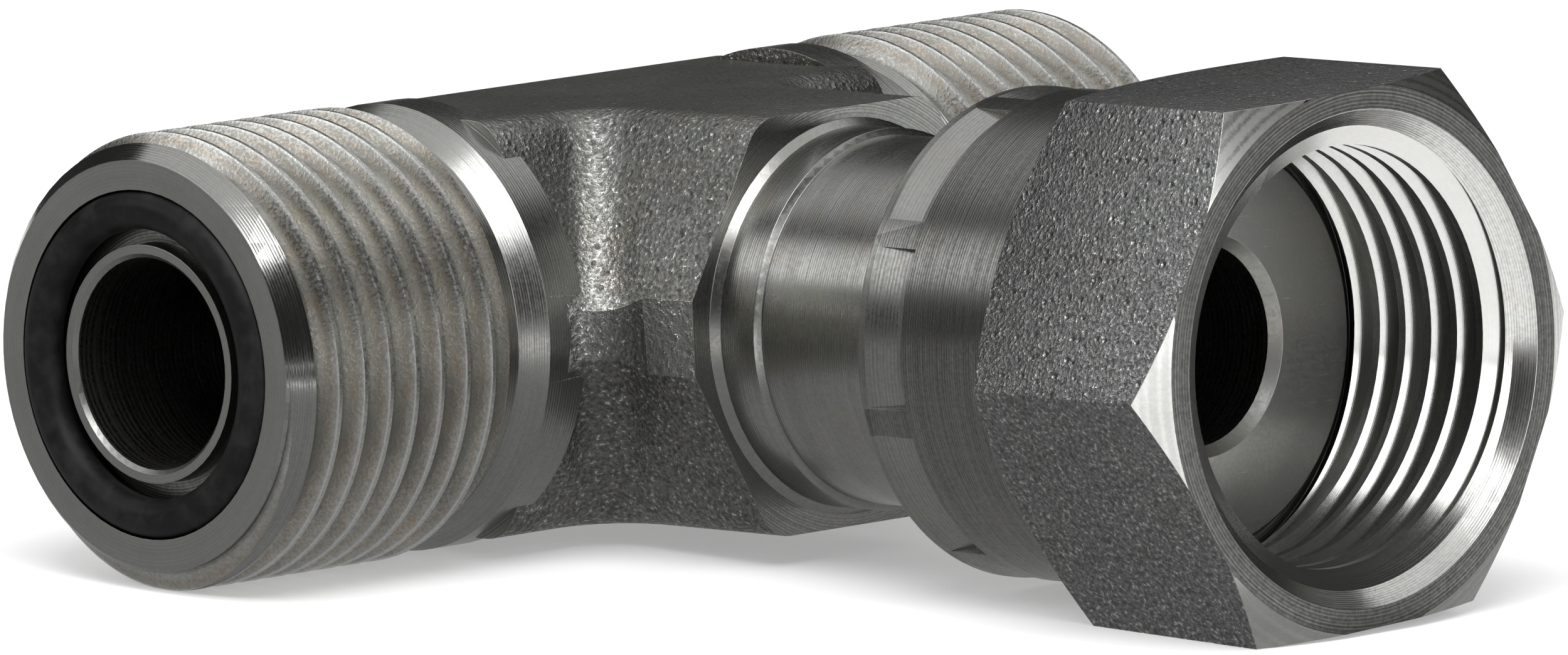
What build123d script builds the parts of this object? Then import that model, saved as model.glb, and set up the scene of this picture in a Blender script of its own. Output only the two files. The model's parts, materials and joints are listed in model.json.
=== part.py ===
from build123d import *

import os

# Branch tee with two male O-ring face seal ends and a crimped swivel nut on the branch.
# Millimetres. The origin is where the run's axis and the branch's axis cross. The run lies along X,
# the branch and its nut point towards -Y, and +Z is square to the upper flat of the forging.
# The helices of the threads aren't cut: the male ends are plain at the thread's major diameter,
# and the nut is plain at its minor diameter.

os.makedirs("parts", exist_ok=True)

# thread: 13/16 in. over the crests, with 16 turns to the inch
thread_d = 20.6375
pitch = 1.5875
nut_minor_d = thread_d - 1.0825 * pitch

# forging: the two arms of the run and the branch share one hexagonal section, 3/4 in. high
forging_flats = 19.05
parting_width = 20.0
run_face = 12.2
branch_face = 15.95
edge_round = 2.0
inner_fillet = 2.4
parting_fillet = 3.2

# turned male ends, outwards from the forging's machined end faces
run_half = 28.9
shoulder_drop = 0.125
shoulder_length = 1.2
relief_drop = 1.02
relief_rise = 1.1
relief_length = 0.7
runout_length = 0.8
end_chamfer = 1.05
end_chamfer_drop = 1.09
groove_d = 15.8
groove_depth = 1.35
lip_d = 10.8
lip_setback = 0.3
run_bore_d = 9.6
lip_chamfer = 0.2

# O-rings in the end faces
ring_section = 1.78
ring_fit = 0.02

# turned stub that carries the nut, outwards from the branch's machined face; before the nut's collar
# is crimped, the flange passes through the nut's thread
stub_d = 16.7
foot_step = 0.3
foot_fillet = 0.35
foot_length = 2.65
foot_chamfer = 0.2
flange_entry = 0.06
flange_d = nut_minor_d - 2 * flange_entry
flange_length = 6.5
flange_cone = 0.6
seat = 38.2
seat_chamfer = 0.25
branch_bore_d = 9.1
bore_chamfer = 0.48

# swivel nut: its flats leave a wall round the thread
nut_wall = 1.68
nut_flats = thread_d + 2 * nut_wall
nut_turn = 2.3
nut_reach = 9.9
nut_length = 20.8
hex_length = 12.25
front_ring_over = 0.2
corner_slope = 0.57
mouth_rise = 0.78
mouth_depth = 0.77
lead_depth = 0.48
thread_gap = 0.15
nut_relief_rise = 0.13
nut_relief_length = 0.9
relief_cone = 0.35
flange_fit = 0.08
axial_play = 0.15
neck_fit = 0.5
neck_chamfer = 0.25
collar_wall = 1.57
rim_chamfer = 0.15
rim_length = 0.6
crimp_length = 2.85
crimp_depth = 0.34
crimp_floor = 0.3
crimp_dies = 8
crimp_gap = 7.0
crimp_turn = 30.0

# how far a shape runs on inside its neighbour before the two are joined, and how near to a place
# the middle of an edge has to lie to be picked
root = 1.0
near = 0.01


def flat_shape(points):
    """A face on the XY plane, bounded by straight lines through the points."""
    return make_face(Polyline(*points, close=True))


def turned_on_run(profile):
    """A profile of (x, radius) points, turned about the run's axis."""
    return revolve(flat_shape(profile), Axis.X, 360)


def turned_on_branch(profile):
    """A profile of (distance along the branch, radius) points, turned about the branch's axis."""
    return revolve(flat_shape([(radius, -distance) for distance, radius in profile]), Axis.Y, 360)


def make_forging():
    """The forged tee, still without its turned ends: its lower half mirrors the upper one."""
    half_height = forging_flats / 2
    corner = half_height / 3**0.5
    vertex = 2 * corner
    half_section = flat_shape([(-vertex, 0), (-corner, half_height), (corner, half_height), (vertex, 0)])
    run_arms = extrude(Plane.YZ * half_section, run_face, both=True)
    branch_arm = extrude(Plane.XZ * half_section, branch_face)
    upper = run_arms + branch_arm

    # the slanting inside corners between the arms, then the rounded edges of the upper flat
    inside_corners = [
        edge
        for edge in upper.edges()
        if abs(abs(edge.center().X) + edge.center().Y) < near
        and edge.center().Y < -corner
        and edge.center().Z < half_height - near
    ]
    upper = fillet(inside_corners, inner_fillet)
    flat_edges = [
        edge
        for edge in upper.faces().sort_by(Axis.Z)[-1].edges()
        if abs(abs(edge.center().X) - run_face) > near and abs(edge.center().Y + branch_face) > near
    ]
    upper = fillet(flat_edges, edge_round)
    forging = upper + mirror(upper, Plane.XY)

    # the flash was trimmed off along the parting line, which leaves narrow upright lands
    side = parting_width / 2
    far_x = run_face + parting_fillet + root
    far_y = branch_face + parting_fillet + root
    outline = [
        (-far_x, side),
        (far_x, side),
        (far_x, -side),
        (side, -side),
        (side, -far_y),
        (-side, -far_y),
        (-side, -side),
        (-far_x, -side),
    ]
    trim = extrude(flat_shape(outline), half_height + root, both=True)
    inner_edges = [
        edge
        for edge in trim.edges().filter_by(Axis.Z)
        if abs(edge.center().Y + side) < near and abs(abs(edge.center().X) - side) < near
    ]
    return forging & fillet(inner_edges, parting_fillet)


def make_male_end():
    """The right-hand end: shoulder, thread relief, thread blank, end face, O-ring groove and inner lip."""
    thread_r = thread_d / 2
    shoulder_end = run_face + shoulder_length
    relief_start = shoulder_end + relief_rise
    relief_end = relief_start + relief_length
    lip_x = run_half - lip_setback
    return turned_on_run(
        [
            (run_face - root, 0),
            (run_face - root, thread_r - shoulder_drop),
            (shoulder_end, thread_r - shoulder_drop),
            (relief_start, thread_r - relief_drop),
            (relief_end, thread_r - relief_drop),
            (relief_end + runout_length, thread_r),
            (run_half - end_chamfer, thread_r),
            (run_half, thread_r - end_chamfer_drop),
            (run_half, groove_d / 2),
            (run_half - groove_depth, groove_d / 2),
            (run_half - groove_depth, lip_d / 2),
            (lip_x, lip_d / 2),
            (lip_x, 0),
        ]
    )


def make_stub():
    """The turned stub: a foot on the forging's face, the neck that the nut turns on, and the flange."""
    foot_r = stub_d / 2 + foot_step
    foot_end = branch_face + foot_length
    flange_back = seat - flange_length
    return turned_on_branch(
        [
            (branch_face - root, 0),
            (branch_face - root, foot_r + foot_fillet),
            (branch_face, foot_r + foot_fillet),
            (branch_face + foot_fillet, foot_r),
            (foot_end - foot_chamfer, foot_r),
            (foot_end, stub_d / 2),
            (flange_back - flange_cone, stub_d / 2),
            (flange_back, flange_d / 2),
            (seat - seat_chamfer, flange_d / 2),
            (seat, flange_d / 2 - seat_chamfer),
            (seat, 0),
        ]
    )


def make_run_bore():
    """The drilling along the run, with a small chamfer inside each end's lip."""
    lip_x = run_half - lip_setback
    wide = run_bore_d / 2 + lip_chamfer
    half = [
        (lip_x - lip_chamfer, run_bore_d / 2),
        (lip_x, wide),
        (run_half, wide),
        (run_half, 0),
    ]
    other_half = [(-x, radius) for x, radius in reversed(half)]
    return turned_on_run(half + other_half)


def make_branch_bore():
    """The drilling from the seat to the run's bore."""
    wide = branch_bore_d / 2 + bore_chamfer
    return turned_on_branch(
        [
            (0, 0),
            (0, branch_bore_d / 2),
            (seat - bore_chamfer, branch_bore_d / 2),
            (seat, wide),
            (seat + root, wide),
            (seat + root, 0),
        ]
    )


def make_o_ring():
    """The right-hand O-ring, on its groove's floor, against the outer wall and proud of the end face."""
    middle_r = groove_d / 2 - ring_section / 2 - ring_fit
    middle_x = run_half - groove_depth + ring_section / 2 + ring_fit
    return Pos(middle_x, 0, 0) * (Rot(0, 90, 0) * Torus(middle_r, ring_section / 2))


def make_crimp(back, collar_r):
    """What the dies press into the collar: a groove that deepens away from the rim, broken between the dies."""
    end = back + crimp_length
    profile = [
        (back + rim_length, collar_r),
        (end - 2 * crimp_floor, collar_r - crimp_depth),
        (end - crimp_floor, collar_r - crimp_depth),
        (end, collar_r),
        (end, collar_r + root),
        (back + rim_length, collar_r + root),
    ]
    step = 360 / crimp_dies
    die = revolve(flat_shape([(radius, -distance) for distance, radius in profile]), Axis.Y, step - crimp_gap)
    return [Rot(0, crimp_turn + crimp_gap / 2 + step * count, 0) * die for count in range(crimp_dies)]


def make_nut():
    """The swivel nut: a hexagon with a cone at each end, and the collar crimped over the stub's flange."""
    front = seat + nut_reach
    back = front - nut_length
    shoulder = front - hex_length
    flange_r = flange_d / 2 + flange_fit
    collar_r = flange_r + collar_wall
    front_ring_r = nut_flats / 2 + front_ring_over
    corner_r = nut_flats / 3**0.5
    beyond = corner_r + root

    hexagon = extrude(Plane.XZ * RegularPolygon(corner_r, 6), front)
    hexagon = Rot(0, -nut_turn, 0) * hexagon
    cones = turned_on_branch(
        [
            (shoulder, 0),
            (shoulder, collar_r),
            (shoulder + (beyond - collar_r) * corner_slope, beyond),
            (front - (beyond - front_ring_r) * corner_slope, beyond),
            (front, front_ring_r),
            (front, 0),
        ]
    )
    collar = turned_on_branch(
        [
            (back, 0),
            (back, collar_r - rim_chamfer),
            (back + rim_chamfer, collar_r),
            (shoulder + root, collar_r),
            (shoulder + root, 0),
        ]
    )
    collar = collar - make_crimp(back, collar_r)

    thread_r = thread_d / 2
    neck_r = stub_d / 2 + neck_fit
    flange_back = seat - flange_length - axial_play
    relief_end = seat + thread_gap - relief_cone
    relief_start = relief_end - nut_relief_length
    lead_start = front - mouth_depth
    hole = turned_on_branch(
        [
            (back, 0),
            (back, neck_r + neck_chamfer),
            (back + neck_chamfer, neck_r),
            (flange_back - flange_cone, neck_r),
            (flange_back, flange_r),
            (relief_start - relief_cone, flange_r),
            (relief_start, thread_r + nut_relief_rise),
            (relief_end, thread_r + nut_relief_rise),
            (relief_end + relief_cone, nut_minor_d / 2),
            (lead_start - lead_depth, nut_minor_d / 2),
            (lead_start, thread_r),
            (front, thread_r + mouth_rise),
            (front, 0),
        ]
    )
    return (hexagon & cones) + collar - hole


male_end = make_male_end()
tee_body = make_forging() + male_end + mirror(male_end, Plane.YZ) + make_stub()
tee_body = tee_body - make_run_bore() - make_branch_bore()
right_port_o_ring = make_o_ring()
left_port_o_ring = mirror(right_port_o_ring, Plane.YZ)
swivel_nut = make_nut()

steel = Color(0.36, 0.36, 0.35)
rubber = Color(0.03, 0.03, 0.03)
for name, shape, color in (
    ("tee_body", tee_body, steel),
    ("left_port_o_ring", left_port_o_ring, rubber),
    ("right_port_o_ring", right_port_o_ring, rubber),
    ("swivel_nut", swivel_nut, steel),
):
    shape.label = name
    shape.color = color
    export_step(shape, f"parts/{name}.step")
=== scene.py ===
"""The looks of a hydraulic tee fitting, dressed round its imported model: threads, finishes and studio."""

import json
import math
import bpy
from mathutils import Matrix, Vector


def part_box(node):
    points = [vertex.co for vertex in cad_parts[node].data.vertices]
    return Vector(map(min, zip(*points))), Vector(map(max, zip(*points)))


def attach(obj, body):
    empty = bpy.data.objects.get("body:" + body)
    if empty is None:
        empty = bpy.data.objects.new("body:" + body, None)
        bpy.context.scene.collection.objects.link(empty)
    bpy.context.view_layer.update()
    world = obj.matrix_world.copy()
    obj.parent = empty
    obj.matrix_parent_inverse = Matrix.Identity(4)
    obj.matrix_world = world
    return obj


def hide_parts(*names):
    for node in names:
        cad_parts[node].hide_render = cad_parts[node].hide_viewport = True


bl_info = {
    "name": "Hydraulic Tee Fitting",
    "version": (1, 0, 0),
    "blender": (4, 5, 0),
    "location": "View3D > Sidebar > Tee Fitting",
    "description": "Cuts a tee fitting's threads, gives it its finishes and sets its studio",
    "category": "Object",
}

import bmesh
import bpy
from mathutils import Euler, Matrix, Vector

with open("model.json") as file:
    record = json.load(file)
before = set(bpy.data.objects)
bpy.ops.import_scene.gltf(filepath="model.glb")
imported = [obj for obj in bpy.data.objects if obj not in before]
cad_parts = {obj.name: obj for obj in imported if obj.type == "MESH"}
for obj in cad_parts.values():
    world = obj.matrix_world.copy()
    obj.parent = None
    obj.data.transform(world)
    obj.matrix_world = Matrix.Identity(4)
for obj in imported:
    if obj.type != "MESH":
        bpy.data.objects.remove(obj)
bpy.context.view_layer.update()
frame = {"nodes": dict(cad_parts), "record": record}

MM = 0.001
MOUNTS = {mount["name"]: mount for mount in frame["record"]["mounts"]}
TEE_LOW, TEE_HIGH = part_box("tee_body")
NUT_LOW, NUT_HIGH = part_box("swivel_nut")
RING_LOW, RING_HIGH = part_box("right_port_o_ring")

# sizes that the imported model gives, in metres
RUN_END = TEE_HIGH.x
SEAT = -MOUNTS["branch_seat"]["pos_m"][1]
NUT_FRONT = -NUT_LOW.y
NUT_BACK = -NUT_HIGH.y
THREAD_R = MOUNTS["left_port_thread"]["dims"]["r_mm"] * MM
NUT_BORE_R = MOUNTS["nut_thread"]["dims"]["r_mm"] * MM
RUN_BORE_R = MOUNTS["run_bore"]["dims"]["r_mm"] * MM
BRANCH_BORE_R = MOUNTS["branch_bore"]["dims"]["r_mm"] * MM

# the run turns about +X and the branch about -Y: each matrix stands its axis up along Z
RUN_UP = Vector((1, 0, 0)).rotation_difference(Vector((0, 0, 1))).to_matrix()
BRANCH_UP = Vector((0, -1, 0)).rotation_difference(Vector((0, 0, 1))).to_matrix()


class ThreadSettings(bpy.types.PropertyGroup):
    """The form of the 13/16-16 threads, and where their turns start."""

    pitch: bpy.props.FloatProperty(
        name="Pitch", description="Advance of the thread in one turn",
        default=1.5875 * MM, unit="LENGTH", precision=6
    )
    depth: bpy.props.FloatProperty(
        name="Depth", description="Height of the male thread, crest to root",
        default=0.95 * MM, unit="LENGTH"
    )
    crest: bpy.props.FloatProperty(
        name="Male crest", description="Width of the flat crest of the male thread",
        default=0.2 * MM, unit="LENGTH"
    )
    nut_crest: bpy.props.FloatProperty(
        name="Nut crest", description="Width of the flat crest of the nut's thread",
        default=0.42 * MM, unit="LENGTH"
    )
    flank_angle: bpy.props.FloatProperty(
        name="Flank angle", description="Lean of each flank from square",
        default=math.radians(30), subtype="ANGLE"
    )
    steps: bpy.props.IntProperty(
        name="Steps", description="Faces along one turn of a groove", default=120, min=24
    )
    relief_middle: bpy.props.FloatProperty(
        name="Run relief", description="Middle of the relief behind the male threads",
        default=14.85 * MM, unit="LENGTH"
    )
    nut_relief_middle: bpy.props.FloatProperty(
        name="Nut relief", description="Middle of the relief behind the nut's thread",
        default=37.55 * MM, unit="LENGTH"
    )
    near_turn: bpy.props.FloatProperty(
        name="Near start", description="Where the left thread's turns begin",
        default=math.radians(320), subtype="ANGLE"
    )
    far_turn: bpy.props.FloatProperty(
        name="Far start", description="Where the right thread's turns begin",
        default=0.0, subtype="ANGLE"
    )
    nut_turn: bpy.props.FloatProperty(
        name="Nut start", description="Where the nut's turns begin",
        default=math.radians(40), subtype="ANGLE"
    )


class EdgeSettings(bpy.types.PropertyGroup):
    """Where each finish of the steel begins, and how far its edges are worn round."""

    run_face: bpy.props.FloatProperty(
        name="Run face", description="From the branch's axis to the forging's turned end faces",
        default=12.2 * MM, unit="LENGTH"
    )
    branch_face: bpy.props.FloatProperty(
        name="Branch face", description="From the run's axis to the branch's turned end face",
        default=15.95 * MM, unit="LENGTH"
    )
    parting_half: bpy.props.FloatProperty(
        name="Parting land", description="Half the width over the trimmed parting line",
        default=10.0 * MM,
        unit="LENGTH"
    )
    shoulder_root: bpy.props.FloatProperty(
        name="Shoulder root", description="How far the turned shoulder reaches back past the end faces",
        default=1.05 * MM, unit="LENGTH"
    )
    shoulder_drop: bpy.props.FloatProperty(
        name="Shoulder drop", description="How much lower the turned shoulder is than the thread's crests",
        default=0.125 * MM, unit="LENGTH"
    )
    nut_shoulder: bpy.props.FloatProperty(
        name="Nut shoulder", description="From the run's axis to where the nut's hexagon begins",
        default=35.85 * MM, unit="LENGTH"
    )
    crimp_length: bpy.props.FloatProperty(
        name="Crimp", description="Length of the collar that the dies pressed",
        default=2.85 * MM, unit="LENGTH"
    )
    tee_edge: bpy.props.FloatProperty(
        name="Turned edges", description="Rounding of the tee's turned edges",
        default=0.05 * MM, unit="LENGTH"
    )
    nut_edge: bpy.props.FloatProperty(
        name="Nut edges", description="Rounding of the nut's worn edges",
        default=0.09 * MM, unit="LENGTH"
    )


class FinishSettings(bpy.types.PropertyGroup):
    """The colours of the plated steel and of the rubber."""

    forged: bpy.props.FloatVectorProperty(
        name="Forged steel", description="Blasted and plated forging", default=(0.24, 0.24, 0.228),
        size=3, subtype="COLOR", min=0, max=1
    )
    turned: bpy.props.FloatVectorProperty(
        name="Turned steel", description="Plated steel as the lathe left it",
        default=(0.36, 0.36, 0.345),
        size=3, subtype="COLOR", min=0, max=1
    )
    thread: bpy.props.FloatVectorProperty(
        name="Thread flanks", description="Plated flanks of the threads", default=(0.55, 0.545, 0.52),
        size=3, subtype="COLOR", min=0, max=1
    )
    nut: bpy.props.FloatVectorProperty(
        name="Nut steel", description="Blasted flats of the nut", default=(0.28, 0.285, 0.28),
        size=3, subtype="COLOR", min=0, max=1
    )
    # the worn edges' bare steel, and also the paler colour of the painted highlights on the tee's thread
    # crests and on the nut's mouth, corner cone and thread flanks
    bare_edge_and_highlight: bpy.props.FloatVectorProperty(
        name="Worn edge", description="Steel that shines through along worn edges",
        default=(0.62, 0.62, 0.60),
        size=3, subtype="COLOR", min=0, max=1
    )
    rubber: bpy.props.FloatVectorProperty(
        name="Rubber", description="Nitrile rubber of the O-rings", default=(0.008, 0.008, 0.008),
        size=3, subtype="COLOR", min=0, max=1
    )


class StageSettings(bpy.types.PropertyGroup):
    """The photograph's camera and the studio's lamps."""

    azimuth: bpy.props.FloatProperty(
        name="Azimuth", description="Camera's direction round the part", default=math.radians(-44.485),
        subtype="ANGLE"
    )
    elevation: bpy.props.FloatProperty(
        name="Elevation", description="Camera's height over the horizon",
        default=math.radians(6.9), subtype="ANGLE"
    )
    roll: bpy.props.FloatProperty(
        name="Roll", description="Turn of the picture about the line of sight",
        default=math.radians(-2.064),
        subtype="ANGLE"
    )
    distance: bpy.props.FloatProperty(
        name="Distance", description="From the camera to its target", default=1.07143, unit="LENGTH"
    )
    target: bpy.props.FloatVectorProperty(
        name="Target", description="Point that the camera looks at",
        default=(-2.385 * MM, -14 * MM, -0.386 * MM),
        size=3, subtype="TRANSLATION", unit="LENGTH"
    )
    lens: bpy.props.FloatProperty(
        name="Lens", description="Focal length on a sensor 36 mm wide, in millimetres", default=544.85
    )
    softbox_power: bpy.props.FloatProperty(
        name="Softbox", description="Power of the overhead softbox", default=1.6, unit="POWER"
    )
    left_power: bpy.props.FloatProperty(
        name="Left light", description="Power of the light left of the part and behind it",
        default=0.4, unit="POWER"
    )
    front_power: bpy.props.FloatProperty(
        name="Front light", description="Power of the panel in front of the nut's mouth",
        default=0.6, unit="POWER"
    )
    ambient: bpy.props.FloatProperty(
        name="Ambient", description="Strength of the even light from all round", default=0.55, min=0
    )
    floor_colour: bpy.props.FloatVectorProperty(
        name="Floor", description="Colour of the pale floor",
        default=(0.86, 0.86, 0.86), size=3, subtype="COLOR",
        min=0, max=1
    )


# stains of the plating and steel that shows through its scratches; painted shade for the threads' roots, a
# painted highlight for their tips, and painted glints on blasted steel
WARM_STAIN = (1.0, 0.9, 0.78)
GREEN_STAIN = (0.86, 0.95, 0.88)
DARK_STAIN = (0.62, 0.62, 0.62)
BROWN_STAIN = (0.8, 0.66, 0.5)
PAINTED_ROOT_SHADE = (0.3, 0.3, 0.28)
PAINTED_TIP_HIGHLIGHT = (0.8, 0.8, 0.78)
PAINTED_GLINT = (0.8, 0.8, 0.77)
SCRATCHED_STEEL = (0.75, 0.75, 0.73)


def add(tree, kind, inputs=None, **settings):
    """A new node in the tree, with its settings, and its inputs linked or set by name or number."""
    node = tree.nodes.new(kind)
    for name, value in settings.items():
        setattr(node, name, value)
    for name, value in (inputs or {}).items():
        if isinstance(value, bpy.types.NodeSocket):
            tree.links.new(value, node.inputs[name])
        else:
            node.inputs[name].default_value = value
    return node


def sum_up(tree, operation, first, second=0.0, third=0.0, clamp=False):
    """The result of one Math node."""
    node = add(tree, "ShaderNodeMath", {0: first, 1: second, 2: third}, operation=operation, use_clamp=clamp)
    return node.outputs[0]


def spread(tree, value, low, high, to_low=0.0, to_high=1.0):
    """A value's range low to high, mapped smoothly to another one."""
    inputs = {"Value": value, "From Min": low, "From Max": high, "To Min": to_low, "To Max": to_high}
    return add(tree, "ShaderNodeMapRange", inputs, interpolation_type="SMOOTHSTEP").outputs[0]


def blend_colour(tree, factor, first, second, how="MIX"):
    """Two colours mixed by a factor."""
    node = add(tree, "ShaderNodeMix", {"Factor": factor}, data_type="RGBA", blend_type=how)
    for place, value in ((6, first), (7, second)):
        if isinstance(value, bpy.types.NodeSocket):
            tree.links.new(value, node.inputs[place])
        else:
            node.inputs[place].default_value = (*value, 1.0)[:4]
    return node.outputs[2]


def noise(tree, vector, size, detail=3.0, roughness=0.55):
    """Noise with features of a given size, in the units of its coordinates."""
    scale = sum_up(tree, "DIVIDE", 1.0, size)
    inputs = {"Vector": vector, "Scale": scale, "Detail": detail, "Roughness": roughness}
    return add(tree, "ShaderNodeTexNoise", inputs).outputs["Fac"]


def height_and_radius(tree, vector):
    """How far up the Z axis a point lies, and how far from it."""
    parts = add(tree, "ShaderNodeSeparateXYZ", {0: vector}).outputs
    flat = add(tree, "ShaderNodeCombineXYZ", {0: parts[0], 1: parts[1], 2: 0.0}).outputs[0]
    return parts[2], add(tree, "ShaderNodeVectorMath", {0: flat}, operation="LENGTH").outputs["Value"]


def start_effect(name, inputs, outputs):
    """A new shader node group with its named sockets, and its input and output nodes."""
    group = bpy.data.node_groups.new(name, "ShaderNodeTree")
    for socket, kind, default in inputs:
        made = group.interface.new_socket(name=socket, in_out="INPUT", socket_type=f"NodeSocket{kind}")
        if default is not None:
            made.default_value = default
    for socket, kind in outputs:
        group.interface.new_socket(name=socket, in_out="OUTPUT", socket_type=f"NodeSocket{kind}")
    return group, group.nodes.new("NodeGroupInput").outputs, group.nodes.new("NodeGroupOutput").inputs


def finish_effect(group, outputs, results):
    """Links what the group works out to its output sockets."""
    for name, value in results.items():
        group.links.new(value, outputs[name])
    return group


def make_turning_marks():
    """Fine tool rings round the Z axis of millimetre coordinates, on cylinders and end faces alike."""
    group, given, out = start_effect(
        "turning_marks",
        [("Vector", "Vector", None), ("Spacing", "Float", 0.14), ("Drift", "Float", 0.3)],
        [("Height", "Float"), ("Shade", "Float")],
    )
    up, radius = height_and_radius(group, given["Vector"])
    drift = sum_up(group, "MULTIPLY", noise(group, given["Vector"], 9.0, 1.0), given["Drift"])
    along = sum_up(group, "ADD", sum_up(group, "ADD", radius, up), drift)
    steps = sum_up(group, "DIVIDE", along, given["Spacing"])
    feed = sum_up(group, "SINE", sum_up(group, "MULTIPLY", steps, math.tau))
    inputs = {"W": steps, "Scale": 0.9, "Detail": 2.0, "Roughness": 0.6}
    fine = add(group, "ShaderNodeTexNoise", inputs, noise_dimensions="1D").outputs["Fac"]
    inputs = {"W": steps, "Scale": 0.13, "Detail": 1.0}
    coarse = add(group, "ShaderNodeTexNoise", inputs, noise_dimensions="1D").outputs["Fac"]
    height = sum_up(group, "MULTIPLY_ADD", feed, 0.22, fine)
    height = sum_up(group, "MULTIPLY_ADD", coarse, 0.5, height)
    shade = spread(group, height, 0.45, 1.1)
    return finish_effect(group, out, {"Height": height, "Shade": shade})


def make_blasted_grain():
    """The granular skin of blasted steel: fine grains, coarser lumps and scattered pits, and a mask for
    painted glints on the grains' peaks.
    """
    group, given, out = start_effect(
        "blasted_grain",
        [
            ("Vector", "Vector", None),
            ("Grain", "Float", 0.2),
            ("Pits", "Float", 0.5),
            ("Glints", "Float", 0.1),
        ],
        [("Height", "Float"), ("Shade", "Float"), ("Glint", "Float")],
    )
    body = noise(group, given["Vector"], given["Grain"], 2.0, 0.65)
    lumps = noise(group, given["Vector"], sum_up(group, "MULTIPLY", given["Grain"], 4.0), 2.0, 0.5)
    cell = sum_up(group, "DIVIDE", 0.45, given["Grain"])
    pits = add(group, "ShaderNodeTexVoronoi", {"Vector": given["Vector"], "Scale": cell})
    bowl = spread(group, pits.outputs["Distance"], 0.05, 0.4)
    chosen = add(group, "ShaderNodeSeparateColor", {0: pits.outputs["Color"]}).outputs
    deep = sum_up(group, "GREATER_THAN", chosen[0], 0.6)
    pit = sum_up(group, "MULTIPLY", sum_up(group, "SUBTRACT", 1.0, bowl), deep)
    height = sum_up(group, "MULTIPLY_ADD", lumps, 0.7, body)
    height = sum_up(group, "SUBTRACT", height, sum_up(group, "MULTIPLY", pit, given["Pits"]))
    shade = spread(group, sum_up(group, "MULTIPLY_ADD", pit, -0.12, body), 0.3, 0.66)
    limit = sum_up(group, "SUBTRACT", 0.75, given["Glints"])
    glint = spread(group, body, limit, sum_up(group, "ADD", limit, 0.1))
    return finish_effect(group, out, {"Height": height, "Shade": shade, "Glint": glint})


def make_plating_tint():
    """Zinc plating's faint stains: patches that turn steel a little warm, green or dark."""
    group, given, out = start_effect(
        "plating_tint",
        [
            ("Vector", "Vector", None),
            ("Colour", "Color", None),
            ("Patch", "Float", 2.0),
            ("Amount", "Float", 0.3),
        ],
        [("Colour", "Color")],
    )
    warm = spread(group, noise(group, given["Vector"], given["Patch"], 4.0, 0.6), 0.5, 0.72)
    shifted = add(group, "ShaderNodeVectorMath", {0: given["Vector"], 1: (31.0, 17.0, 5.0)}).outputs[0]
    green = spread(group, noise(group, shifted, given["Patch"], 3.0), 0.5, 0.75)
    wide_patch = sum_up(group, "MULTIPLY", given["Patch"], 3.0)
    pale = spread(group, noise(group, shifted, wide_patch, 4.0), 0.35, 0.65)
    dim = sum_up(group, "SUBTRACT", 1.0, pale)
    colour = given["Colour"]
    for patches, stain in ((warm, WARM_STAIN), (green, GREEN_STAIN), (dim, DARK_STAIN)):
        factor = sum_up(group, "MULTIPLY", patches, given["Amount"])
        colour = blend_colour(group, factor, colour, stain, "MULTIPLY")
    return finish_effect(group, out, {"Colour": colour})


def make_thread_bands():
    """Where along its height a thread's flank lies: its root, which gets painted shade, its stained middle,
    and its tip, which gets a painted highlight.
    """
    group, given, out = start_effect(
        "thread_bands", [("Vector", "Vector", None), ("Root", "Float", 9.4), ("Crest", "Float", 10.3)],
        [("Root", "Float"), ("Stain", "Float"), ("Tip", "Float")],
    )
    _, radius = height_and_radius(group, given["Vector"])
    above = sum_up(group, "SUBTRACT", radius, given["Root"])
    share = sum_up(group, "DIVIDE", above, sum_up(group, "SUBTRACT", given["Crest"], given["Root"]))
    wander = sum_up(group, "MULTIPLY_ADD", noise(group, given["Vector"], 1.1, 4.0, 0.6), 0.5, -0.25)
    share_now = sum_up(group, "ADD", share, wander)
    root = spread(group, share, 0.22, 0.0)
    above_root = spread(group, share_now, 0.35, 0.6)
    below_tip = spread(group, share_now, 0.85, 0.6)
    stain = sum_up(group, "MULTIPLY", above_root, below_tip)
    tip = spread(group, sum_up(group, "MULTIPLY_ADD", wander, 0.2, share), 0.86, 0.97)
    return finish_effect(group, out, {"Root": root, "Stain": stain, "Tip": tip})


def make_scratches():
    """Short hair scratches in two directions."""
    group, given, out = start_effect(
        "scratches", [("Vector", "Vector", None), ("Length", "Float", 1.5), ("Share", "Float", 0.2)],
        [("Mask", "Float")],
    )
    masks = []
    for turn in (0.5, 2.2):
        inputs = {0: given["Vector"], 2: (turn, turn, turn), 3: (1.0, 26.0, 26.0)}
        stretched = add(group, "ShaderNodeMapping", inputs).outputs[0]
        lines = noise(group, stretched, given["Length"], 2.0, 0.5)
        limit = sum_up(group, "SUBTRACT", 0.8, given["Share"])
        masks.append(spread(group, lines, limit, sum_up(group, "ADD", limit, 0.06)))
    return finish_effect(group, out, {"Mask": sum_up(group, "MAXIMUM", masks[0], masks[1])})


EFFECTS = {
    "turning_marks": make_turning_marks,
    "blasted_grain": make_blasted_grain,
    "plating_tint": make_plating_tint,
    "scratches": make_scratches,
    "thread_bands": make_thread_bands,
}


def use_effect(tree, name, inputs):
    """Places a shared effect in a material's tree, and builds it the first time."""
    group = bpy.data.node_groups.get(name) or EFFECTS[name]()
    return add(tree, "ShaderNodeGroup", inputs, node_tree=group).outputs


def place_coordinates(tree, turned):
    """Object coordinates in millimetres, with the axis that a surface was turned about along Z."""
    rotation = {"run": RUN_UP, "branch": BRANCH_UP}.get(turned, Matrix.Identity(3)).to_euler()
    inputs = {
        "Vector": add(tree, "ShaderNodeTexCoord").outputs["Object"],
        "Scale": (1 / MM, 1 / MM, 1 / MM),
        "Rotation": rotation,
    }
    return add(tree, "ShaderNodeMapping", inputs).outputs[0]


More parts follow.
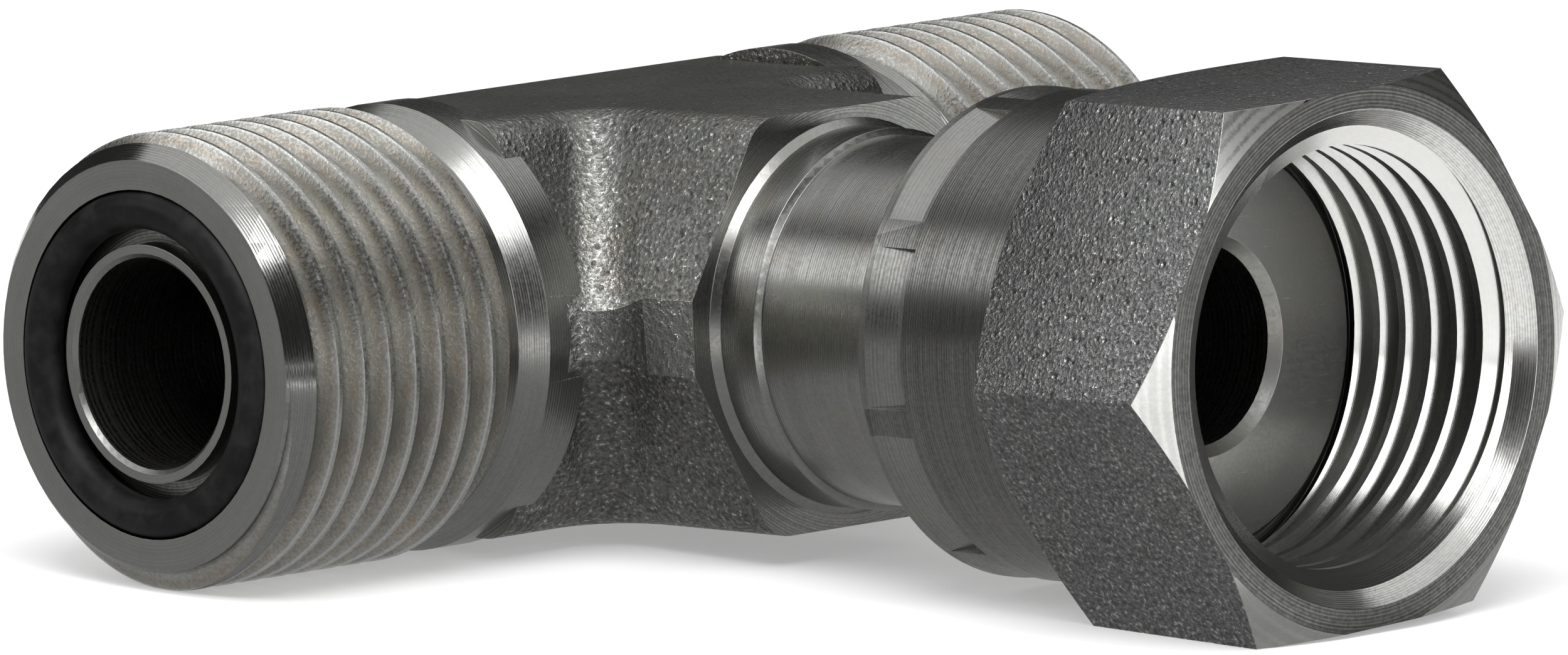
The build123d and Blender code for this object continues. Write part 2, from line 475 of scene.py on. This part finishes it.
def steel(name, colour, roughness, turned=None, rings=0.0, spacing=0.14, grain=0.0, grain_size=0.2, pits=0.5,
          glints=0.0, tint=0.3, patch=2.0, shade=0.25, scratches=0.0, bands=None):
    """A plated steel: its tool rings and grain are heights in millimetres, its roughness spans a range."""
    made = bpy.data.materials.new(name)
    made.use_nodes = True
    tree = made.node_tree
    principled = tree.nodes["Principled BSDF"]
    where = place_coordinates(tree, turned)
    inputs = {"Vector": where, "Colour": (*colour, 1.0), "Patch": patch, "Amount": tint}
    tinted = use_effect(tree, "plating_tint", inputs)["Colour"]
    rough_low, rough_high = roughness
    inputs = {"Vector": where, "Grain": grain_size, "Pits": pits, "Glints": glints}
    skin = use_effect(tree, "blasted_grain", inputs)
    height = sum_up(tree, "MULTIPLY", skin["Height"], grain)
    mark = skin["Shade"]
    if rings:
        marks = use_effect(tree, "turning_marks", {"Vector": where, "Spacing": spacing})
        height = sum_up(tree, "MULTIPLY_ADD", marks["Height"], rings, height)
        mark = sum_up(tree, "MULTIPLY_ADD", marks["Shade"], 0.65, sum_up(tree, "MULTIPLY", mark, 0.35))
    shaded = blend_colour(tree, 1.0, tinted, (1 - shade, 1 - shade, 1 - shade), "MULTIPLY")
    colour_now = blend_colour(tree, sum_up(tree, "SUBTRACT", 1.0, mark), tinted, shaded)
    if glints:
        # painted glints: bright flecks mixed into the colour on the grains' peaks
        share = sum_up(tree, "MULTIPLY", skin["Glint"], 0.6)
        colour_now = blend_colour(tree, share, colour_now, PAINTED_GLINT)
    if bands:
        root, crest = bands
        band = use_effect(tree, "thread_bands", {"Vector": where, "Root": root, "Crest": crest})
        share = sum_up(tree, "MULTIPLY", band["Stain"], 0.4)
        colour_now = blend_colour(tree, share, colour_now, BROWN_STAIN, "MULTIPLY")
        # painted shade deep in the thread's root, and a painted highlight along its tip
        share = sum_up(tree, "MULTIPLY", band["Root"], 0.6)
        colour_now = blend_colour(tree, share, colour_now, PAINTED_ROOT_SHADE, "MULTIPLY")
        share = sum_up(tree, "MULTIPLY", band["Tip"], 0.7)
        colour_now = blend_colour(tree, share, colour_now, PAINTED_TIP_HIGHLIGHT)
    rough_now = spread(tree, mark, 0.0, 1.0, rough_high, rough_low)
    if glints:
        rough_now = sum_up(tree, "MULTIPLY_ADD", skin["Glint"], -0.7 * rough_low, rough_now, clamp=True)
    if scratches:
        lines = use_effect(tree, "scratches", {"Vector": where, "Share": scratches})["Mask"]
        share = sum_up(tree, "MULTIPLY", lines, 0.6)
        colour_now = blend_colour(tree, share, colour_now, SCRATCHED_STEEL)
        height = sum_up(tree, "MULTIPLY_ADD", lines, -0.003, height)
    tree.links.new(colour_now, principled.inputs["Base Color"])
    tree.links.new(rough_now, principled.inputs["Roughness"])
    principled.inputs["Metallic"].default_value = 1.0
    bump = add(tree, "ShaderNodeBump", {"Height": height, "Distance": MM, "Strength": 1.0})
    tree.links.new(bump.outputs[0], principled.inputs["Normal"])
    return made


def make_rubber():
    """Semi-matt black nitrile rubber with a faint grey bloom."""
    made = bpy.data.materials.new("ring_rubber")
    made.use_nodes = True
    tree = made.node_tree
    principled = tree.nodes["Principled BSDF"]
    where = place_coordinates(tree, None)
    bloom = spread(tree, noise(tree, where, 1.3, 4.0, 0.6), 0.4, 0.75)
    base = tuple(bpy.context.scene.tee_finishes.rubber)
    colour = blend_colour(tree, bloom, base, tuple(channel * 2.2 for channel in base))
    tree.links.new(colour, principled.inputs["Base Color"])
    tree.links.new(spread(tree, bloom, 0.0, 1.0, 0.4, 0.55), principled.inputs["Roughness"])
    principled.inputs["Specular IOR Level"].default_value = 0.12
    skin = sum_up(tree, "MULTIPLY", noise(tree, where, 0.12, 2.0), 0.004)
    bump = add(tree, "ShaderNodeBump", {"Height": skin, "Distance": MM, "Strength": 1.0})
    tree.links.new(bump.outputs[0], principled.inputs["Normal"])
    return made


# Meshes: corners nearer than MERGE are one corner, faces that meet flatter than FLAT_ANGLE are one
# face, and edges over ROUNDED_ANGLE are rounded, over SHARP_ANGLE shaded sharp
MERGE = 0.1e-6
FLAT_ANGLE = math.radians(0.3)
ROUNDED_ANGLE = math.radians(25)
SHARP_ANGLE = math.radians(28)


def merged_copy(node, edge_round):
    """A bmesh copy of a CAD node, its loose triangles joined up and its sharp edges rounded a little."""
    bm = bmesh.new()
    bm.from_mesh(frame["nodes"][node].data)
    bmesh.ops.remove_doubles(bm, verts=bm.verts, dist=MERGE)
    bmesh.ops.dissolve_limit(bm, angle_limit=FLAT_ANGLE, verts=bm.verts, edges=bm.edges, delimit={"NORMAL"})
    bmesh.ops.recalc_face_normals(bm, faces=bm.faces)
    for face in bm.faces:
        face.material_index = 0
    sharp = [edge for edge in bm.edges if edge.is_manifold and edge.calc_face_angle() > ROUNDED_ANGLE]
    if edge_round:
        bmesh.ops.bevel(bm, geom=sharp, offset=edge_round, offset_type="OFFSET", affect="EDGES", segments=2,
                        profile=0.5, material=-1, clamp_overlap=True, loop_slide=True)
    return bm


def helical_ridge(profile, up, start, turns, turn, finish):
    """A solid right-handed ridge round an axis: a section of (radius, height) corners, spun as it climbs."""
    threads = bpy.context.scene.tee_threads
    bm = bmesh.new()
    corners = [bm.verts.new((radius, 0.0, start + height)) for radius, height in profile]
    bm.faces.new(corners)
    bmesh.ops.rotate(bm, verts=bm.verts, cent=(0, 0, 0), matrix=Matrix.Rotation(turn, 3, "Z"))
    bmesh.ops.spin(
        bm, geom=bm.verts[:] + bm.edges[:] + bm.faces[:], cent=(0, 0, 0), axis=(0, 0, 1),
        dvec=(0, 0, threads.pitch / threads.steps), angle=turns * math.tau,
        steps=round(turns * threads.steps),
    )
    bmesh.ops.rotate(bm, verts=bm.verts, cent=(0, 0, 0), matrix=up.transposed())
    bmesh.ops.recalc_face_normals(bm, faces=bm.faces)
    for face in bm.faces:
        face.material_index = finish
    return bm


def make_piece(bm, name, materials):
    """A mesh object at the origin, with its materials."""
    mesh = bpy.data.meshes.new(name)
    bm.to_mesh(mesh)
    bm.free()
    for material in materials:
        mesh.materials.append(material)
    piece = bpy.data.objects.new(name, mesh)
    bpy.context.scene.collection.objects.link(piece)
    return piece


def carve(piece, cutter_meshes):
    """Cuts the cutters out of the piece for good."""
    cutters = [make_piece(bm, "cutter", piece.data.materials) for bm in cutter_meshes]
    for cutter in cutters:
        cut = piece.modifiers.new("thread", "BOOLEAN")
        cut.operation = "DIFFERENCE"
        cut.solver = "EXACT"
        cut.object = cutter
    shape = bpy.data.meshes.new_from_object(piece.evaluated_get(bpy.context.evaluated_depsgraph_get()))
    piece.modifiers.clear()
    old = piece.data
    piece.data = shape
    shape.name = piece.name
    bpy.data.meshes.remove(old)
    for cutter in cutters:
        bpy.data.meshes.remove(cutter.data)


def about(point, up):
    """A point's height along an axis that is stood up along Z, its radius and its unit radial direction."""
    local = up @ point
    flat = Vector((local.x, local.y, 0.0))
    radius = flat.length
    return local.z, radius, flat / max(radius, 1e-9)


def spots_on_faces(mesh):
    """A point on each face, its largest triangle's centre: a ring's own centre lies off the ring."""
    mesh.calc_loop_triangles()
    largest = {}
    for triangle in mesh.loop_triangles:
        kept = largest.get(triangle.polygon_index)
        if kept is None or triangle.area > kept.area:
            largest[triangle.polygon_index] = triangle
    return {number: Vector(triangle.center) for number, triangle in largest.items()}


# how much of a face's normal has to lie in the plane through the axis for the face to count as turned
TURNED_SHARE = 0.8


def shade_piece(piece, finish_of, axis_of, helical):
    """Gives each face its finish, and each turned face the true normals of its cylinder, cone or helix."""
    mesh = piece.data
    lead = bpy.context.scene.tee_threads.pitch / math.tau
    normals = [(0.0, 0.0, 0.0)] * len(mesh.loops)
    upward = Vector((0.0, 0.0, 1.0))
    spots = spots_on_faces(mesh)
    for polygon in mesh.polygons:
        spot = spots[polygon.index]
        polygon.use_smooth = True
        if polygon.material_index not in helical:
            polygon.material_index = finish_of(spot, polygon.normal)
        up = axis_of[polygon.material_index]
        if up is None:
            continue
        _, radius, radial = about(spot, up)
        local = up @ polygon.normal
        outward = local.dot(radial)
        if math.hypot(outward, local.z) < TURNED_SHARE:
            continue
        sideways = -local.z * lead / radius if polygon.material_index in helical else 0.0
        for loop in polygon.loop_indices:
            _, _, arm = about(mesh.vertices[mesh.loops[loop].vertex_index].co, up)
            true = arm * outward + upward.cross(arm) * sideways + upward * local.z
            normals[loop] = tuple(up.transposed() @ true.normalized())
    bm = bmesh.new()
    bm.from_mesh(mesh)
    for edge in bm.edges:
        edge.smooth = not (edge.is_manifold and edge.calc_face_angle() > SHARP_ANGLE)
    bm.to_mesh(mesh)
    bm.free()
    mesh.normals_split_custom_set(normals)


def thread_profile(crest_r, floor_r, opening, overlap):
    """Corners of a V groove's section, from beyond its crest to its floor."""
    lean = math.tan(bpy.context.scene.tee_threads.flank_angle)
    outwards = math.copysign(1.0, crest_r - floor_r)
    outer_half = opening / 2 + overlap * lean
    floor_half = opening / 2 - abs(crest_r - floor_r) * lean
    outer_r = crest_r + outwards * overlap
    return [(outer_r, -outer_half), (floor_r, -floor_half), (floor_r, floor_half), (outer_r, outer_half)]


TEE_FINISHES = [
    "forged", "parting_land", "turned", "thread_flank", "thread_crest", "end_chamfer", "end_face",
    "groove_wall", "drilled_bore", "drilled_branch", "stub", "seat_face",
]

# how near to a face's place its faces lie, and how far in from the run's ends and the thread's crests
# the end face, the O-ring groove and the end chamfer reach
SLACK = 0.02 * MM
SEAT_RIM = 0.55 * MM
END_FACE_DEEP = 0.4 * MM
END_FACE_IN = 1.04 * MM
GROOVE_DEEP = 1.5 * MM
GROOVE_IN = 2.2 * MM
CHAMFER_DEEP = 1.06 * MM
CHAMFER_IN = 1.15 * MM


def make_tee_materials():
    """The tee's finishes, in the order of its material slots."""
    colours = bpy.context.scene.tee_finishes
    turned = tuple(colours.turned)
    flank = tuple(colours.thread)
    forged = tuple(colours.forged)
    crest_highlight = tuple(colours.bare_edge_and_highlight)
    thread_r = THREAD_R / MM
    root_r = thread_r - bpy.context.scene.tee_threads.depth / MM
    return [
        steel("forged", forged, (0.34, 0.5), grain=0.07, grain_size=0.22, glints=0.14, tint=0.5,
              patch=3.0, shade=0.5),
        steel("parting_land", turned, (0.45, 0.6), grain=0.12, grain_size=0.3, glints=0.2, tint=0.5,
              patch=1.4, shade=0.3),
        steel("turned", turned, (0.2, 0.32), "run", rings=0.005, spacing=0.16, tint=0.25),
        steel("thread_flank", flank, (0.26, 0.4), "run", grain=0.012, grain_size=0.16, tint=0.5,
              patch=1.2, shade=0.2, bands=(root_r, thread_r)),
        # the crests take the pale worn-edge colour as a painted highlight
        steel("thread_crest", crest_highlight, (0.25, 0.4), "run", grain=0.01, grain_size=0.16, tint=0.3),
        steel("end_chamfer", turned, (0.1, 0.2), "run", rings=0.003, spacing=0.18, tint=0.15),
        steel("end_face", turned, (0.3, 0.38), "run", rings=0.002, spacing=0.15, tint=0.15, shade=0.12),
        steel("groove_wall", turned, (0.3, 0.4), "run", rings=0.004, spacing=0.14, tint=0.2, shade=0.5),
        steel("drilled_bore", turned, (0.25, 0.45), "run", rings=0.02, spacing=0.3, tint=0.5, shade=0.7),
        steel("drilled_branch", turned, (0.25, 0.45), "branch", rings=0.02, spacing=0.3, tint=0.5, shade=0.7),
        steel("stub", turned, (0.2, 0.32), "branch", rings=0.003, spacing=0.14, tint=0.35),
        steel("seat_face", turned, (0.4, 0.48), "branch", tint=0.3, patch=3.0, shade=0.1, scratches=0.08),
    ]


def tee_finish(centre, normal):
    """The number of the finish that a face of the tee has, by where it lies."""
    edges = bpy.context.scene.tee_edges
    x = abs(centre.x)
    from_run = math.hypot(centre.y, centre.z)
    from_branch = math.hypot(centre.x, centre.z)
    from_shoulder = abs(from_run - THREAD_R + edges.shoulder_drop)
    if from_run < RUN_BORE_R + SLACK:
        name = "drilled_bore"
    elif -centre.y > SEAT - SEAT_RIM and abs(normal.y) > 0.3:
        name = "seat_face"
    elif centre.y < 0 and from_branch < BRANCH_BORE_R + SLACK:
        name = "drilled_branch"
    elif -centre.y > edges.branch_face - SLACK:
        name = "stub"
    elif x > RUN_END - END_FACE_DEEP and from_run < THREAD_R - END_FACE_IN and abs(normal.x) > 0.3:
        name = "end_face"
    elif x > RUN_END - GROOVE_DEEP and from_run < THREAD_R - GROOVE_IN:
        name = "groove_wall"
    elif x > RUN_END - CHAMFER_DEEP and from_run > THREAD_R - CHAMFER_IN:
        name = "end_chamfer"
    elif x > bpy.context.scene.tee_threads.relief_middle and from_run > THREAD_R - SLACK:
        name = "thread_crest"
    elif x > edges.run_face - SLACK:
        name = "turned"
    elif abs(abs(centre.y) - edges.parting_half) < SLACK and abs(normal.y) > 0.9:
        name = "parting_land"
    elif abs(x - edges.parting_half) < SLACK and abs(normal.x) > 0.9:
        name = "parting_land"
    elif x > edges.run_face - edges.shoulder_root and from_shoulder < SLACK:
        name = "turned"
    else:
        name = "forged"
    return TEE_FINISHES.index(name)


NUT_FINISHES = [
    "nut_flat", "worn_edge", "corner_cone", "collar", "crimp", "front_ring", "mouth", "nut_crest",
    "nut_flank", "nut_inside",
]

# how far in from the nut's front its mouth reaches, where its inner faces begin, and how much wider
# than the thread's crests those faces may be
MOUTH_DEEP = 1.3 * MM
INSIDE_FROM = 1.2 * MM
INSIDE_OVER = 1.1 * MM
CREST_OVER = 0.03 * MM


def make_nut_materials():
    """The nut's finishes, in the order of its material slots."""
    colours = bpy.context.scene.tee_finishes
    turned = tuple(colours.turned)
    # copies of the turned steel: darker ones as painted shade on the collar, the nut's inside and the front
    # ring, and the pale worn-edge colour as a painted highlight on the corner cone, mouth and thread flanks,
    # besides the worn edges' bare steel
    dark = tuple(channel * 0.75 for channel in turned)
    ring = tuple(channel * 0.6 for channel in turned)
    bright = tuple(colours.bare_edge_and_highlight)
    flat = tuple(colours.nut)
    return [
        steel("nut_flat", flat, (0.3, 0.48), grain=0.085, grain_size=0.2, pits=0.8, glints=0.16,
              tint=0.3, patch=4.0, shade=0.55),
        steel("worn_edge", bright, (0.25, 0.4), grain=0.02, tint=0.15),
        steel("corner_cone", bright, (0.24, 0.36), "branch", rings=0.003, spacing=0.2, tint=0.25, shade=0.2),
        steel("collar", dark, (0.22, 0.34), "branch", rings=0.005, spacing=0.15, tint=0.3, shade=0.5),
        steel("crimp", turned, (0.24, 0.36), "branch", rings=0.004, spacing=0.15, tint=0.3, shade=0.3),
        steel("front_ring", ring, (0.24, 0.36), "branch", rings=0.006, spacing=0.16, tint=0.2, shade=0.6),
        steel("mouth", bright, (0.16, 0.26), "branch", rings=0.003, spacing=0.17, tint=0.15, shade=0.4),
        steel("nut_crest", flat, (0.3, 0.42), "branch", rings=0.004, spacing=0.12, tint=0.6,
              patch=0.8, shade=0.4),
        steel("nut_flank", bright, (0.14, 0.2), "branch", rings=0.0006, spacing=0.11, tint=0.12, shade=0.08),
        steel("nut_inside", dark, (0.3, 0.4), "branch", rings=0.004, spacing=0.16, tint=0.3),
    ]


def nut_finish(centre, normal):
    """The number of the finish that a face of the nut has, by where it lies."""
    edges = bpy.context.scene.tee_edges
    along = -centre.y
    radius = math.hypot(centre.x, centre.z)
    outward = (normal.x * centre.x + normal.z * centre.z) / radius
    if radius < NUT_BORE_R + CREST_OVER and along > SEAT:
        name = "nut_crest"
    elif outward < -0.1 and along > NUT_FRONT - MOUTH_DEEP:
        name = "mouth"
    elif radius < NUT_BORE_R + INSIDE_OVER and along < NUT_FRONT - INSIDE_FROM and outward < 0.3:
        name = "nut_inside"
    elif along > NUT_FRONT - SLACK:
        name = "front_ring"
    elif along < NUT_BACK + edges.crimp_length:
        name = "crimp"
    elif along < edges.nut_shoulder - SLACK:
        name = "collar"
    elif abs(normal.y) < 0.02 and outward > 0.8:
        name = "nut_flat"
    elif abs(normal.y) > 0.3 and abs(math.hypot(normal.x, normal.z) - outward) < 0.01:
        name = "corner_cone"
    else:
        name = "worn_edge"
    return NUT_FINISHES.index(name)


# how far a thread's cutter reaches past the crests and past the end, and how much deeper than the male
# thread the nut's grooves are
CUT_OVER = 0.1 * MM
CUT_PAST = 0.6 * MM
ROOT_CLEARANCE = 0.03 * MM


def place_piece(piece, body, slot, *nodes):
    """Lets a piece ride on its body and stand for its CAD nodes; its slot is not used."""
    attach(piece, body)
    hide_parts(*nodes)


class TEEFITTING_OT_tee_body(bpy.types.Operator):
    """Cut the male threads and give the forging and its turned ends their finishes"""

    bl_idname = "tee_fitting.tee_body"
    bl_label = "Tee Body"

    def execute(self, context):
        threads = context.scene.tee_threads
        materials = make_tee_materials()
        body = merged_copy("tee_body", context.scene.tee_edges.tee_edge)
        piece = make_piece(body, "threaded_tee", materials)
        opening = threads.pitch - threads.crest
        profile = thread_profile(THREAD_R, THREAD_R - threads.depth, opening, CUT_OVER)
        turns = (RUN_END + CUT_PAST - threads.relief_middle) / threads.pitch
        flank = TEE_FINISHES.index("thread_flank")
        cutters = []
        left_up = Matrix.Rotation(math.pi, 3, "Y") @ RUN_UP
        for up, turn in ((left_up, threads.near_turn), (RUN_UP, threads.far_turn)):
            cutters.append(helical_ridge(profile, up, threads.relief_middle, turns, turn, flank))
        carve(piece, cutters)
        axes = {name: RUN_UP for name in TEE_FINISHES}
        axes.update(forged=None, parting_land=None)
        axes.update(stub=BRANCH_UP, seat_face=BRANCH_UP, drilled_branch=BRANCH_UP)
        shade_piece(piece, tee_finish, [axes[name] for name in TEE_FINISHES], {flank})
        place_piece(piece, "tee", "tee_steel", "tee_body")
        return {"FINISHED"}


class TEEFITTING_OT_swivel_nut(bpy.types.Operator):
    """Cut the swivel nut's thread and give its flats, edges and turned collar their finishes"""

    bl_idname = "tee_fitting.swivel_nut"
    bl_label = "Swivel Nut"

    def execute(self, context):
        threads = context.scene.tee_threads
        nut = merged_copy("swivel_nut", context.scene.tee_edges.nut_edge)
        piece = make_piece(nut, "threaded_nut", make_nut_materials())
        opening = threads.pitch - threads.nut_crest
        profile = thread_profile(NUT_BORE_R, THREAD_R + ROOT_CLEARANCE, opening, CUT_OVER)
        turns = (NUT_FRONT + CUT_PAST - threads.nut_relief_middle) / threads.pitch
        flank = NUT_FINISHES.index("nut_flank")
        cutter = helical_ridge(profile, BRANCH_UP, threads.nut_relief_middle, turns, threads.nut_turn, flank)
        carve(piece, [cutter])
        axes = {name: BRANCH_UP for name in NUT_FINISHES}
        axes.update(nut_flat=None, worn_edge=None)
        shade_piece(piece, nut_finish, [axes[name] for name in NUT_FINISHES], {flank})
        place_piece(piece, "nut", "nut_steel", "swivel_nut")
        return {"FINISHED"}


class TEEFITTING_OT_o_rings(bpy.types.Operator):
    """Lay a smooth black O-ring in the groove of each port"""

    bl_idname = "tee_fitting.o_rings"
    bl_label = "O-rings"

    def execute(self, context):
        rubber = make_rubber()
        section_r = (RING_HIGH.x - RING_LOW.x) / 2
        middle_r = RING_HIGH.z - section_r
        middle_x = (RING_LOW.x + RING_HIGH.x) / 2
        for side, port in ((-1, "left_port"), (1, "right_port")):
            bm = bmesh.new()
            upright = Euler((math.pi / 2, 0, 0)).to_matrix().to_4x4()
            section = Matrix.Translation((side * middle_x, 0, middle_r)) @ upright
            bmesh.ops.create_circle(bm, segments=28, radius=section_r, matrix=section)
            bmesh.ops.spin(bm, geom=bm.verts[:] + bm.edges[:], cent=(0, 0, 0), axis=(1, 0, 0),
                           angle=math.tau, steps=160, use_merge=True)
            bmesh.ops.remove_doubles(bm, verts=bm.verts, dist=1e-6)
            bmesh.ops.recalc_face_normals(bm, faces=bm.faces)
            for face in bm.faces:
                face.smooth = True
            ring = make_piece(bm, f"{port}_seal", [rubber])
            place_piece(ring, "tee", "seal_rubber", f"{port}_o_ring")
        return {"FINISHED"}


# the lamps' places and their widths and heights, and the spot that they all face, in metres
SOFTBOX = (-0.185, -0.195, 0.37), (0.3, 0.3)
LEFT_LIGHT = (-0.38, 0.27, 0.27), (0.34, 0.18)
FRONT_LIGHT = (-0.04, -0.46, 0.11), (0.24, 0.24)
LIT_SPOT = Vector((0, -0.015, 0))

# the dark wall round the part, the two cards on the floor, and how brightly they glow; the grey card is a
# painted shadow of the part on the floor, which only reflections see
WALL_RADIUS = 0.9
WALL_HEIGHT = 0.9
WALL_FOOT = -0.06
DARK_GLOW = 0.02
SHADOW_CARD_GLOW = 0.34


class TEEFITTING_OT_stage(bpy.types.Operator):
    """Set the floor, the lamps, the dark reflectors and the photograph's camera"""

    bl_idname = "tee_fitting.stage"
    bl_label = "Studio"

    def execute(self, context):
        stage = context.scene.tee_stage
        self.make_floor(stage)
        self.make_world(context, stage)
        self.make_lamp("softbox", *SOFTBOX, stage.softbox_power)
        self.make_lamp("left_light", *LEFT_LIGHT, stage.left_power)
        self.make_lamp("front_light", *FRONT_LIGHT, stage.front_power)
        self.make_cards()
        self.make_camera(context, stage)
        context.scene.view_settings.view_transform = "Standard"
        return {"FINISHED"}

    def make_floor(self, stage):
        """A pale floor that touches the nut's lowest corner and the run, as the part rests on both."""
        bm = bmesh.new()
        bmesh.ops.create_grid(bm, x_segments=1, y_segments=1, size=6.0)
        self.lay_down(bm, -0.02 * MM)
        material = bpy.data.materials.new("pale_floor")
        material.use_nodes = True
        tree = material.node_tree
        principled = tree.nodes["Principled BSDF"]
        principled.inputs["Base Color"].default_value = (*stage.floor_colour, 1.0)
        principled.inputs["Roughness"].default_value = 0.9
        principled.inputs["Specular IOR Level"].default_value = 0.1
        seen = self.seen_directly(tree)
        principled.inputs["Emission Color"].default_value = (1, 1, 1, 1)
        tree.links.new(sum_up(tree, "MULTIPLY", seen, 0.3), principled.inputs["Emission Strength"])
        floor = make_piece(bm, "floor", [material])

    def lay_down(self, bm, lift):
        """Lays a flat mesh on the plane under the run and the nut's lowest corner, lifted a little."""
        slope = math.atan2(-THREAD_R - NUT_LOW.z, NUT_FRONT)
        bmesh.ops.rotate(bm, verts=bm.verts, cent=(0, 0, 0), matrix=Matrix.Rotation(slope, 3, "X"))
        bmesh.ops.translate(bm, verts=bm.verts, vec=(0, 0, -THREAD_R + lift))

    def seen_directly(self, tree):
        """One for rays from the camera, and for those that metal or glass sends on."""
        path = add(tree, "ShaderNodeLightPath").outputs
        either = sum_up(tree, "MAXIMUM", path["Is Camera Ray"], path["Is Glossy Ray"])
        return sum_up(tree, "MAXIMUM", either, path["Is Transmission Ray"])

    def make_world(self, context, stage):
        world = bpy.data.worlds.new("studio")
        context.scene.world = world
        world.use_nodes = True
        tree = world.node_tree
        background = tree.nodes["Background"]
        background.inputs["Color"].default_value = (1, 1, 1, 1)
        seen = self.seen_directly(tree)
        strength = spread(tree, seen, 0.0, 1.0, stage.ambient, 1.0)
        tree.links.new(strength, background.inputs["Strength"])

    def make_lamp(self, name, place, size, power):
        """A softbox that faces the part; its size is its width and height."""
        lamp = bpy.data.lights.new(name, "AREA")
        lamp.shape = "RECTANGLE"
        lamp.size, lamp.size_y = size
        lamp.energy = power
        holder = bpy.data.objects.new(name, lamp)
        holder.location = place
        holder.rotation_euler = (LIT_SPOT - Vector(place)).to_track_quat("-Z", "Y").to_euler()
        bpy.context.scene.collection.objects.link(holder)

    def make_cards(self):
        """A dark wall all round and two cards on the floor, which only show as bands in the metal; the grey
        one behind the part is its painted shadow on the floor.
        """
        wall = bmesh.new()
        bmesh.ops.create_circle(wall, segments=96, radius=WALL_RADIUS)
        raised = bmesh.ops.extrude_edge_only(wall, edges=wall.edges[:])["geom"]
        corners = [item for item in raised if isinstance(item, bmesh.types.BMVert)]
        bmesh.ops.translate(wall, verts=corners, vec=(0, 0, WALL_HEIGHT))
        bmesh.ops.translate(wall, verts=wall.verts, vec=(0, 0, WALL_FOOT))
        self.make_card("dark_wall", wall, DARK_GLOW)
        # a painted shadow of the part on the floor, for reflections only
        behind = self.flat_card((0.35, 0.352), (-0.125, 0.124), 0.0, 0.01 * MM)
        self.make_card("floor_shadow_card", behind, SHADOW_CARD_GLOW)
        before = self.flat_card((0.3, 0.045), (-0.204, -0.166), 42.0, 0.02 * MM)
        self.make_card("camera_card", before, DARK_GLOW)

    def flat_card(self, size, place, turn, lift):
        """A rectangle on the floor, turned by some degrees."""
        bm = bmesh.new()
        bmesh.ops.create_grid(bm, x_segments=1, y_segments=1, size=0.5)
        bmesh.ops.scale(bm, verts=bm.verts, vec=(*size, 1.0))
        bmesh.ops.rotate(bm, verts=bm.verts, matrix=Matrix.Rotation(math.radians(turn), 3, "Z"))
        bmesh.ops.translate(bm, verts=bm.verts, vec=(*place, 0.0))
        self.lay_down(bm, lift)
        return bm

    def make_card(self, name, bm, glow):
        """A card that only reflections see, with an even grey glow."""
        material = bpy.data.materials.new(name)
        material.use_nodes = True
        principled = material.node_tree.nodes["Principled BSDF"]
        principled.inputs["Base Color"].default_value = (0.02, 0.02, 0.02, 1)
        principled.inputs["Roughness"].default_value = 1.0
        principled.inputs["Emission Color"].default_value = (1, 1, 1, 1)
        principled.inputs["Emission Strength"].default_value = glow
        card = make_piece(bm, name, [material])
        card.visible_camera = False
        card.visible_diffuse = False
        card.visible_shadow = False

    def make_camera(self, context, stage):
        sight = Vector((
            math.sin(stage.azimuth) * math.cos(stage.elevation),
            -math.cos(stage.azimuth) * math.cos(stage.elevation),
            math.sin(stage.elevation),
        ))
        right = Vector((math.cos(stage.azimuth), math.sin(stage.azimuth), 0.0))
        above = sight.cross(right)
        rolled_right = right * math.cos(stage.roll) + above * math.sin(stage.roll)
        rolled_up = -right * math.sin(stage.roll) + above * math.cos(stage.roll)
        camera = bpy.data.cameras.new("photo_camera")
        camera.sensor_width = 36.0
        camera.lens = stage.lens
        camera.clip_start = 0.01
        camera.clip_end = 100.0
        holder = bpy.data.objects.new("photo_camera", camera)
        turn = Matrix((rolled_right, rolled_up, sight)).transposed()
        place = Vector(stage.target) + sight * stage.distance
        holder.matrix_world = Matrix.Translation(place) @ turn.to_4x4()
        context.scene.collection.objects.link(holder)
        context.scene.camera = holder


class TEEFITTING_PT_panel(bpy.types.Panel):
    """Sizes, colours and steps of the tee fitting"""

    bl_idname = "TEEFITTING_PT_panel"
    bl_label = "Tee Fitting"
    bl_space_type = "VIEW_3D"
    bl_region_type = "UI"
    bl_category = "Tee Fitting"

    def draw(self, context):
        for name, group in SETTINGS.items():
            box = self.layout.box()
            box.label(text=group.bl_rna.name)
            for setting in group.__annotations__:
                box.prop(getattr(context.scene, name), setting)
        for operator in OPERATORS:
            self.layout.operator(operator.bl_idname)


SETTINGS = {
    "tee_threads": ThreadSettings,
    "tee_edges": EdgeSettings,
    "tee_finishes": FinishSettings,
    "tee_stage": StageSettings,
}
OPERATORS = [TEEFITTING_OT_tee_body, TEEFITTING_OT_swivel_nut, TEEFITTING_OT_o_rings, TEEFITTING_OT_stage]


def register():
    for group in SETTINGS.values():
        bpy.utils.register_class(group)
    for name, group in SETTINGS.items():
        setattr(bpy.types.Scene, name, bpy.props.PointerProperty(type=group))
    for operator in OPERATORS:
        bpy.utils.register_class(operator)
    bpy.utils.register_class(TEEFITTING_PT_panel)


def unregister():
    bpy.utils.unregister_class(TEEFITTING_PT_panel)
    for operator in reversed(OPERATORS):
        bpy.utils.unregister_class(operator)
    for name, group in SETTINGS.items():
        delattr(bpy.types.Scene, name)
        bpy.utils.unregister_class(group)


def main():
    register()
    bpy.ops.tee_fitting.tee_body()
    bpy.ops.tee_fitting.swivel_nut()
    bpy.ops.tee_fitting.o_rings()
    bpy.ops.tee_fitting.stage()
    bpy.context.view_layer.update()


if __name__ == "__main__":
    main()
